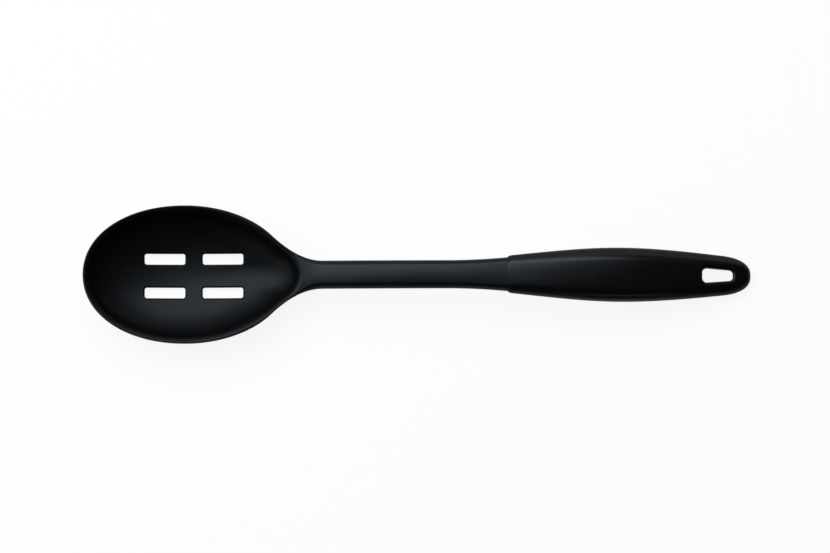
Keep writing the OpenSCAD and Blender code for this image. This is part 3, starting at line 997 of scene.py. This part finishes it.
# %% [markdown]
# ## The hang hole
#
# The same tree that cut the slots cuts the hang hole, with other numbers in its inputs. Its mouth
# rolls over by more than a millimetre and a half, because a soft moulding has no sharp edge. A
# fillet in a slanted corner starts further along than in a square one, so the trapezoid is made a
# little larger to leave the clear width right.

# %% Cut the hang hole
hole_mouth_r = 1.7
hole_lean = math.atan((hole_w - hole_end_w) / 2 / (2 * reach))
side_grow = hole_corner_r * (1 / math.cos(hole_lean) - 1)
near_w = hole_w + 2 * (hole_corner_r * math.tan(hole_lean) + side_grow)
far_w = hole_end_w - 2 * (hole_corner_r * math.tan(hole_lean) - side_grow)
run_tree(grip, holes, {
    "Length": hole_l * MM, "Near width": near_w * MM, "Far width": far_w * MM,
    "Corner radius": hole_corner_r * MM, "Corner steps": 14,
    "Mouth radius": hole_mouth_r * MM, "Mouth steps": 9, "Spacing": 0.5 * MM,
    "Columns": 1, "Rows": 1,
    "Middle": (x_at(hole_mid) * MM, 0.0, 0.0), "Material": elastomer,
})
print(f"finished skin {volume(grip):.0f} mm3")

# %% [markdown]
# ## Where hands and pans have polished it
#
# Moulded black plastic keeps its grain on the broad faces and goes a shade paler and smoother
# on its edges, where it rubs. To know where the edges are, each point is given its mean curvature,
# which is the sum of the bends of the edges round it over the area round it. The flat of a face
# has none, and a half-millimetre edge has a great deal. The value is stored on the mesh, so the
# material can read it.


# %% Mean curvature of a mesh
def averaged(values, ends):
    """Each point's value averaged with those of the points next to it."""
    spread, total = values.copy(), np.ones(len(values))
    np.add.at(spread, ends[:, 0], values[ends[:, 1]])
    np.add.at(spread, ends[:, 1], values[ends[:, 0]])
    np.add.at(total, ends.ravel(), 1)
    return spread / total


def mean_curvature(mesh, rounds=3):
    """How tightly the surface bends at each point, per metre, evened out a little."""
    work = bmesh.new()
    work.from_mesh(mesh)
    bend, area = np.zeros(len(work.verts)), np.zeros(len(work.verts))
    for face in work.faces:
        area[[v.index for v in face.verts]] += face.calc_area() / len(face.verts)
    for edge in work.edges:
        amount = edge.calc_face_angle_signed(0.0) * edge.calc_length() / 4
        bend[[v.index for v in edge.verts]] += amount
    ends = np.array([[v.index for v in edge.verts] for edge in work.edges])
    work.free()
    for _ in range(rounds):
        bend, area = averaged(bend, ends), averaged(area, ends)
    return bend / np.maximum(area, 1e-12)


bends = {piece.name: mean_curvature(piece.data) for piece in (blade, grip)}
for name, bend in bends.items():
    print(f"{name} bends outwards by up to {bend.max():.0f} per metre")

# %% Shade the meshes and mark their edges
sharp_angle, unworn_bend, worn_bend = math.radians(32), 250.0, 1300.0

for piece in (blade, grip):
    mesh = piece.data
    mesh.shade_smooth()
    mesh.set_sharp_from_angle(angle=sharp_angle)
    worn = np.clip((bends[piece.name] - unworn_bend) / (worn_bend - unworn_bend), 0, 1)
    mesh.attributes.new("wear", "FLOAT", "POINT").data.foreach_set("value", worn)
    share = 100 * float((worn > 0.5).mean())
    print(f"{piece.name}: {len(mesh.polygons)} faces, {share:.0f}% of points worn")

# %% [markdown]
# ## Satin black nylon
#
# The blade looks nearly black, with broad soft highlights: a dark base under a satin surface. Its
# mould was spark-eroded, which leaves a fine even grain, and the melt ran from the handle to the
# bowl, which leaves faint streaks along X. Both are noise on Object coordinates, so they
# stay on the spoon from any side. Roughness wanders a little, as it does on a used spoon. The
# photograph's shaft shines a little more than its bowl, so the shine grows along the neck.


# %% Helpers for materials
class Finish(Tree):
    """The same helper for a material's tree, with its shader ready."""

    def __init__(self, material):
        self.group = material.node_tree
        self.shader = self.group.nodes["Principled BSDF"]
        self.where = self.add("ShaderNodeTexCoord")["Object"]

    def noise(self, size, detail=2.0, stretch=1.0):
        """Noise from 0 to 1 whose blobs are about size millimetres, drawn out along X."""
        fine = 1 / (size * MM)
        scaled = {"Vector": self.where, "Scale": (fine / stretch, fine, fine)}
        place = self.add("ShaderNodeMapping", scaled)
        return self.add("ShaderNodeTexNoise", {"Vector": place, "Scale": 1.0, "Detail": detail})

    def ramp(self, field, low, high, start=0.0, end=1.0):
        """Maps a field's range from start to end to another one, and keeps it there."""
        limits = {"Value": field, "From Min": start, "From Max": end}
        return self.add("ShaderNodeMapRange", {**limits, "To Min": low, "To Max": high})

    def blend(self, field, dark, pale):
        """A colour between two others."""
        colours = {0: field, 6: (*dark, 1.0), 7: (*pale, 1.0)}
        return self.add("ShaderNodeMix", colours, data_type="RGBA")[2]

    def bump(self, height, depth, normal=None):
        """Turns a height from 0 to 1 into a slope, depth millimetres deep."""
        inputs = {"Height": height, "Distance": depth * MM, "Strength": 1.0, "Normal": normal}
        return self.add("ShaderNodeBump", inputs)

    def attribute(self, name):
        """A value that is stored on the mesh."""
        return self.add("ShaderNodeAttribute", attribute_name=name)["Fac"]

    def connect(self, **fields):
        """Links fields to the shader's inputs."""
        for label, field in fields.items():
            self.group.links.new(field.socket, self.shader.inputs[label.replace("_", " ")])

    def keep(self, **values):
        """Sets what is the same all over the surface on the shader's own inputs."""
        for label, value in values.items():
            self.shader.inputs[label.replace("_", " ")].default_value = value


coat = Finish(nylon)
print(f"{nylon.name} starts with {len(coat.group.nodes)} nodes")

# %% Finish of the nylon
worn = coat.attribute("wear") * coat.ramp(coat.noise(size=1.8, detail=3.0), low=0.25, high=1.0)
cloud = coat.noise(size=9.0, detail=3.0)
streak = coat.noise(size=0.9, stretch=26.0)
grain = coat.noise(size=0.32)
shade = cloud * 0.6 + streak * 0.4
along = coat.add("ShaderNodeSeparateXYZ", {"Vector": coat.where})["X"]
neck_from, neck_to = x_at(bowl_end - 2) * MM, x_at(neck_end - 4) * MM

coat.connect(
    Base_Color=coat.blend(shade, dark=(0.0010, 0.0011, 0.0012), pale=(0.0023, 0.0025, 0.0028)),
    Specular_IOR_Level=coat.ramp(along, low=0.145, high=0.225, start=neck_from, end=neck_to),
    Roughness=coat.ramp(shade, low=0.34, high=0.42) - worn * 0.08,
    Normal=coat.bump(grain, depth=0.011, normal=coat.bump(streak, depth=0.009)),
)
coat.keep(IOR=1.5, Specular_Tint=(0.89, 0.95, 1.0, 1.0))
print(f"{nylon.name}: {len(coat.group.nodes)} nodes")

# %% [markdown]
# ## Soft elastomer
#
# The grip's skin is a rubbery plastic over the same black. It is a touch softer in its shine, with
# a finer, rounder grain, and dust and skin oil leave it patchy.

# %% Finish of the grip
touch = Finish(elastomer)
worn = touch.attribute("wear")
cloud = touch.noise(size=12.0, detail=3.0)
patch = touch.noise(size=3.0, detail=4.0)
pebble = touch.noise(size=0.45, detail=1.0)
shade = cloud * 0.6 + patch * 0.4
touch.connect(
    Base_Color=touch.blend(shade, dark=(0.0009, 0.0009, 0.0010), pale=(0.0021, 0.0022, 0.0024)),
    Roughness=touch.ramp(shade, low=0.27, high=0.34) - worn * 0.04,
    Normal=touch.bump(pebble, depth=0.015),
)
touch.keep(IOR=1.5, Specular_IOR_Level=0.265, Specular_Tint=(0.90, 0.94, 1.0, 1.0))
print(f"{elastomer.name}: {len(touch.group.nodes)} nodes")

# %% [markdown]
# ## Plain plastic of the core
#
# Nobody sees the core until the skin is cut away. It is an unpolished moulding, paler and duller
# than the rest, with the drawn-out streaks of its melt. Its mesh is the CAD node's own, so only
# the material is new.

# %% Finish of the hidden core
core_plastic = named_material("core_plastic")
plain = Finish(core_plastic)
flow = plain.noise(size=2.0, detail=3.0, stretch=8.0)
plain.connect(
    Base_Color=plain.blend(flow, dark=(0.040, 0.040, 0.043), pale=(0.052, 0.052, 0.055)),
    Roughness=plain.ramp(flow, low=0.45, high=0.6),
    Normal=plain.bump(plain.noise(size=0.3), depth=0.006),
)
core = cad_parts["handle_core"]
core.data.materials.clear()
core.data.materials.append(core_plastic)
print(f"{core_plastic.name}: {len(plain.group.nodes)} nodes")

# %% [markdown]
# ## Ride with the frame
#
# A spoon has no moving parts, so there is one body, and both new pieces ride on it. Each one
# stands for the CAD solid that it was drawn from.

# %% Ride on the root body, and hide the CAD solids that the pieces stand for
for piece, node, slot in ((blade, "nylon_blade", "nylon"), (grip, "soft_grip", "grip_rubber")):
    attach(piece, "root")
    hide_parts(node)
print("pieces", [blade.name, grip.name, core.name])

# %% [markdown]
# ## Floor
#
# The photograph is a cut-out on white. The floor is a plain pale plane that keeps the spoon's
# shadow. Most of what the camera sees of it is its own white, so that it reads as white paper
# without any more light on the spoon. Gloss and clear plastic see a part of that white too. For
# all but the camera its paint is a middle grey, or the spoon's underside would glow.

# %% Floor
floor_r, floor_sides, floor_drop = 30.0, 64, 0.1 * MM
seen_white, mirrored_white = 0.9, 0.15
grey, pale = (0.38, 0.38, 0.38), (0.85, 0.85, 0.85)

turns = [2 * math.pi * k / floor_sides for k in range(floor_sides)]
edge = [(floor_r * math.cos(t), floor_r * math.sin(t), -floor_drop) for t in turns]
floor_mesh = bpy.data.meshes.new("floor")
floor_mesh.from_pydata(edge, [], [tuple(range(floor_sides))])
floor = placed("floor", floor_mesh)
print(f"floor {2 * floor_r:.0f} m across")

# %% Paper of the floor
paper = named_material("floor_paper")
sheet = Finish(paper)
sheet.keep(Roughness=0.9, Specular_IOR_Level=0.0)
ray = sheet.add("ShaderNodeLightPath")
mirrored = ray["Is Glossy Ray"].math("MAXIMUM", ray["Is Transmission Ray"])
to_camera = ray["Is Camera Ray"]
glow_share = (to_camera * seen_white).math("MAXIMUM", mirrored * mirrored_white)
sheet.connect(Base_Color=sheet.blend(to_camera, dark=grey, pale=pale))
glow = sheet.add("ShaderNodeEmission", {"Color": (1.0, 1.0, 1.0, 1.0), "Strength": 1.0})
lit = Field(sheet, sheet.shader.outputs[0])
mixed = sheet.add("ShaderNodeMixShader", {0: glow_share, 1: lit, 2: glow})
sheet.group.links.new(mixed.socket, sheet.group.nodes["Material Output"].inputs["Surface"])
floor_mesh.materials.append(paper)
print(f"{paper.name}: {len(sheet.group.nodes)} nodes")

# %% [markdown]
# ## Lights
#
# Black plastic shows little else than reflections, so where a light is and how large it is matter
# more than how strong it is. A face mirrors what lies at twice its own tilt. The broad highlight on
# the bowl, the shaft and the grip's far shoulder puts one large soft light up, behind and to the
# left. The paler edge on the far side needs a second, low at the back, and the bowl's left
# rim a third, low at the left. All three are plain soft boxes.


# %% Lights
def softbox(name, toward, distance, size, power, colour):
    """A rectangular light that faces the spoon from a direction."""
    lamp = bpy.data.lights.new(name, "AREA")
    lamp.shape, lamp.size, lamp.size_y = "RECTANGLE", *size
    lamp.energy, lamp.color = power, colour
    made = placed(name, lamp)
    direction = Vector(toward).normalized()
    made.location = direction * distance
    made.rotation_euler = direction.to_track_quat("Z", "Y").to_euler()
    made.visible_camera = False
    print(f"{name} light, {size[0]} x {size[1]} m, {power} W")


softbox(
    "key", toward=(-0.36, 0.50, 1.00), distance=1.1,
    size=(1.6, 0.95), power=18.5, colour=(0.85, 0.93, 1.0),
)
softbox(
    "left", toward=(-1.0, 0.0, 0.50), distance=1.4,
    size=(3.0, 0.8), power=6.5, colour=(0.90, 0.96, 1.0),
)
softbox(
    "back", toward=(0.20, 1.0, 0.22), distance=1.4,
    size=(2.4, 0.5), power=3.2, colour=(1.0, 0.98, 0.96),
)

# %% Faint light from all round
world = bpy.data.worlds.new("studio")
world.use_nodes = True
room = world.node_tree.nodes["Background"]
room.inputs["Color"].default_value = (1.0, 1.0, 1.0, 1.0)
room.inputs["Strength"].default_value = 0.04
bpy.context.scene.world = world
print(f"{world.name} at strength {room.inputs['Strength'].default_value:.2f}")

# %% [markdown]
# ## Camera
#
# The photograph looks down from nearly overhead. The far walls of the slots show and the near ones
# don't, which gives about three degrees of tilt towards the near side. Bowl and grip are drawn to
# one scale, so the lens is very long. The scale is the spoon's length over its length in pixels,
# a hair smaller, because the handle's end lies lower than the bowl's rim, and so further away.

# %% Camera
bpy.context.scene.view_settings.view_transform = "Standard"
photo_w, middle_x, middle_y = 830, 415, 276.5
spoon_x, spoon_y, spoon_z = 416.85, 274.3, 20 * MM
pixel = 0.4935 * MM
lens, sensor_w, elevation = 700.0, 36.0, math.radians(87.0)

aim = Vector(((middle_x - spoon_x) * pixel, (spoon_y - middle_y) * pixel, spoon_z))
away = photo_w * pixel * lens / sensor_w
back = Vector((0.0, -math.cos(elevation), math.sin(elevation)))
camera = placed("camera", bpy.data.cameras.new("camera"))
camera.data.lens, camera.data.sensor_width, camera.data.clip_end = lens, sensor_w, 100.0
camera.location = aim + back * away
camera.rotation_euler = back.to_track_quat("Z", "Y").to_euler()
bpy.context.scene.camera = camera
print(f"camera {away:.2f} m away")
